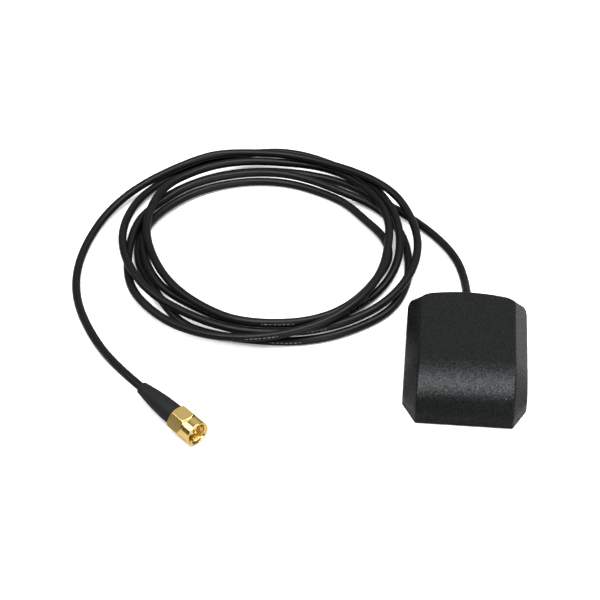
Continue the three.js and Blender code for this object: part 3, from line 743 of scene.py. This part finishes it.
def nut_angles():
    """Angles round the nut, closer together at the hexagon's six corners."""
    angles = []
    for side in range(6):
        for k in range(NUT["side_steps"]):
            t = 2 * k / NUT["side_steps"] - 1
            place = math.copysign(1 - (1 - abs(t)) ** NUT["crowding"], t)
            angles.append(math.pi / 2 + math.pi / 3 * (side + place / 2))
    return angles


def nut_profile():
    """The nut's closed outline: outside from the back to the front, then back along the bore."""
    back, hex_end, front = NUT["back"], NUT["hex_end"], NUT["front"]
    blank, groove, collar = NUT["blank"], NUT["groove"], NUT["collar"]
    crest, bore, shoulder = NUT["crest"], NUT["bore"], NUT["shoulder"]
    ring_groove, ring_back, ring_front = NUT["ring_groove"], NUT["ring_back"], NUT["ring_front"]
    hexagon = [(bore, back), (NUT["back_face"], back), (blank, back + 0.55), (blank, hex_end - 0.95)]
    step = [(groove, hex_end - 0.05), (groove, hex_end + 0.1), (collar, hex_end + 0.4)]
    mouth = [(collar, front - 0.12), (collar - 0.12, front), (crest + 0.6, front), (crest, front - 0.6)]
    inside = [(crest, shoulder), (bore + 0.04, shoulder), (bore + 0.04, ring_front)]
    inside += [(ring_groove, ring_front), (ring_groove, ring_back), (bore, ring_back)]
    rows = rounded_profile(hexagon + step + mouth + inside, 0.1)
    dense = []
    for (r0, z0), (r1, z1) in zip(rows, rows[1:] + rows[:1]):
        length = math.hypot(r1 - r0, z1 - z0)
        pieces = max(1, int(length / 0.07))
        for k in range(pieces):
            dense.append((r0 + (r1 - r0) * k / pieces, z0 + (z1 - z0) * k / pieces))
    return dense


def thread_groove(angle, z):
    """How far the internal thread is cut out at this place, with run-outs at both ends."""
    turn = (z / NUT["pitch"] - angle / (2 * math.pi)) % 1.0
    depth = NUT["depth"] * (1 - abs(2 * turn - 1)) * 1.15
    fade_in = min(max((NUT["front"] - 0.6 - z) / 0.3, 0), 1)
    fade_out = min(max((z - NUT["shoulder"] - 0.2) / 0.3, 0), 1)
    return min(depth, NUT["depth"]) * fade_in * fade_out


def add_coupling_nut():
    """The gold nut: a hex with softened edges, a groove, a round collar and a real thread inside."""
    profile, angles = nut_profile(), nut_angles()
    points = []
    for r, z in profile:
        threaded = abs(r - NUT["crest"]) < 0.02 and z > NUT["shoulder"]
        for angle in angles:
            if threaded:
                radius = r + thread_groove(angle, z)
            elif z < NUT["hex_end"]:
                radius = float(soft_min(r, hex_radius(angle, NUT["flats"], NUT["soft"]), NUT["soft"]))
            else:
                radius = r
            local = Vector((radius * math.cos(angle), radius * math.sin(angle), z)) * MM
            points.append(PLUG_FRAME @ local)
    faces = grid_faces(len(profile), len(angles), True, True)
    nut = mesh_object("coupling_nut_turned", points, faces, sharp=50)
    face_out(nut)
    nut.data.materials.append(GOLD)
    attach(nut, "nut")
    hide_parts("coupling_nut")


def strain_boot():
    """The moulded sleeve: a rounded lip round the cable, then a swelling neck, then a straight barrel."""
    lip = [(1.42, 0.5), (1.48, 0.12), (1.7, 0.0), (1.95, 0.07), (2.1, 0.35), (2.12, 0.9)]
    neck = []
    for k in range(1, 25):
        t = k / 24
        swell = 2.12 + 1.23 * (1 - (1 - t) ** 2.1)
        neck.append((swell, 0.9 + t * 15.9))
    end = [(3.33, 16.9), (2.35, 16.9), (2.35, 8.2), (1.42, 7.0)]
    outline = lip + neck + end
    sides = 64
    points = []
    for r, z in outline:
        for k in range(sides):
            angle = 2 * math.pi * k / sides
            points.append(PLUG_FRAME @ (Vector((r * math.cos(angle), r * math.sin(angle), z)) * MM))
    boot = mesh_object("strain_boot_moulded", points, grid_faces(len(outline), sides, True, True), sharp=35)
    face_out(boot)
    boot.data.materials.append(BOOT)
    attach(boot, "plug")
    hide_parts("strain_boot")


def plug_inside():
    """The parts seen inside the nut: the body's barrel, the white insulator, the pin and the washer."""
    body = turned_ring(
        "connector_barrel",
        [(0.8, 10.0), (1.2, 10.0), (1.2, 17.0), (2.6, 17.0), (2.6, 18.5), (2.25, 18.5), (2.25, 19.5),
         (2.6, 19.5), (2.6, 21.3), (2.29, 21.3), (2.29, 24.2), (2.05, 24.2), (2.05, 17.6), (0.8, 17.6)],
    )
    insulator = turned_ring("insulator_face", [(0.68, 17.65), (2.0, 17.65), (2.0, 24.1), (0.68, 24.1)])
    washer = turned_ring("washer_seal", [(2.35, 21.35), (2.8, 21.35), (2.8, 21.75), (2.35, 21.75)], 0.15)
    pin = turned_ring(
        "pin_contact",
        [(0.32, 15.4), (0.62, 15.4), (0.62, 24.1), (0.46, 24.1), (0.46, 25.8), (0.3, 26.15), (0.005, 26.3),
         (0.005, 17.0), (0.32, 17.0)],
        0.08, 48,
    )
    for piece, material, node, slot in (
        (body, GOLD, "connector_body", "gold"),
        (insulator, PTFE, "ptfe_insulator", "ptfe"),
        (washer, SILICONE, "sealing_washer", "seal"),
        (pin, GOLD, "centre_pin", "gold"),
    ):
        piece.data.materials.append(material)
        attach(piece, "plug")
        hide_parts(node)


# ---------------------------------------------------------------- studio

CAMERA = {"elevation": 41.7, "azimuth": 4.6, "roll": 0.36, "distance": 0.594, "lens": 108.0}
AIM_OFFSET = Vector((0.001262, -0.003562, 0.0))  # from the centre of the object's box, on the ground


def add_camera():
    centre = (cad_low + cad_high) / 2
    aim = Vector((centre.x, centre.y, 0)) + AIM_OFFSET
    elevation, azimuth = math.radians(CAMERA["elevation"]), math.radians(CAMERA["azimuth"])
    back = Vector((
        math.sin(azimuth) * math.cos(elevation), -math.cos(azimuth) * math.cos(elevation), math.sin(elevation)
    ))
    data = bpy.data.cameras.new("camera")
    data.lens = CAMERA["lens"]
    data.sensor_width = 36
    data.clip_start, data.clip_end = 0.01, 20
    camera = bpy.data.objects.new("camera", data)
    camera.location = aim + back * CAMERA["distance"]
    camera.rotation_mode = "QUATERNION"
    roll = Matrix.Rotation(math.radians(CAMERA["roll"]), 4, "Z").to_quaternion()
    camera.rotation_quaternion = (-back).to_track_quat("-Z", "Y") @ roll
    bpy.context.scene.collection.objects.link(camera)
    bpy.context.scene.camera = camera


def add_floor():
    """A plain floor: white to the camera, and dim, more so further out, in its light and its reflections."""
    bpy.ops.mesh.primitive_plane_add(size=6)
    floor = bpy.context.object
    floor.name = "floor"
    floor.location.z = -0.00005
    material, tree, surface = new_material("floor_white")
    seen = add_node(tree, "ShaderNodeLightPath").outputs["Is Camera Ray"]
    spot = add_node(tree, "ShaderNodeTexCoord").outputs["Object"]
    distance = add_node(tree, "ShaderNodeVectorMath", {0: spot}, operation="LENGTH").outputs["Value"]
    reflected = blend_colour(tree, ramp(tree, distance, 0.0, 1.0, 0.15, 0.5), grey(0.36), grey(0.1))
    tree.links.new(blend_colour(tree, seen, reflected, grey(0.92)), surface.inputs["Base Color"])
    surface.inputs["Roughness"].default_value = 0.9
    surface.inputs["Specular IOR Level"].default_value = 0.0
    surface.inputs["Emission Color"].default_value = (1, 1, 1, 1)
    tree.links.new(ramp(tree, seen, 0.0, 0.22), surface.inputs["Emission Strength"])
    floor.data.materials.append(material)


SOFTBOXES = [  # name, place from the object's centre, size in metres, power in watts
    ("overhead", (0.1, -0.13, 1.1), (2.0, 0.55), 34),
    ("right_side", (1.0, 0.9, 0.35), (0.7, 0.5), 0.7),
    ("upper_left", (-0.95, 0.03, 0.91), (0.6, 0.6), 4.5),
    ("front_right", (0.9, -1.0, 0.3), (1.2, 0.8), 14),
]


def add_softbox(name, offset, size, power):
    """A soft rectangular light that faces the object's centre; its height is from the ground."""
    centre = (cad_low + cad_high) / 2
    place = Vector((centre.x + offset[0], centre.y + offset[1], offset[2]))
    data = bpy.data.lights.new(name, "AREA")
    data.shape = "RECTANGLE"
    data.size, data.size_y = size
    data.energy = power
    light = bpy.data.objects.new(name, data)
    light.location = place
    light.rotation_mode = "QUATERNION"
    light.rotation_quaternion = (centre - place).to_track_quat("-Z", "Y")
    bpy.context.scene.collection.objects.link(light)


def add_world():
    """White for the camera; for lighting and reflections, a dark room with a paler back wall."""
    world = bpy.data.worlds.new("studio")
    bpy.context.scene.world = world
    world.use_nodes = True
    tree = world.node_tree
    background = tree.nodes["Background"]
    direction = add_node(tree, "ShaderNodeTexCoord").outputs["Generated"]
    towards_wall = {0: direction, 1: (0, 0.8, 0.6)}
    wall = add_node(tree, "ShaderNodeVectorMath", towards_wall, operation="DOT_PRODUCT").outputs["Value"]
    room = ramp(tree, wall, 0.09, 0.56, 0.75, 0.98)
    seen = add_node(tree, "ShaderNodeLightPath").outputs["Is Camera Ray"]
    level = add_node(tree, "ShaderNodeMix", {0: seen, 2: room, 3: 1.1}, data_type="FLOAT").outputs[0]
    tree.links.new(level, background.inputs["Strength"])
    background.inputs["Color"].default_value = (1, 1, 1, 1)


def studio():
    add_floor()
    add_world()
    for softbox in SOFTBOXES:
        add_softbox(*softbox)
    bpy.context.scene.view_settings.view_transform = "Standard"
    bpy.context.scene.view_settings.look = "None"


# ---------------------------------------------------------------- build

finish_cad_nodes()
housing_shell()
cable_pieces()
strain_boot()
add_coupling_nut()
plug_inside()
studio()
add_camera()
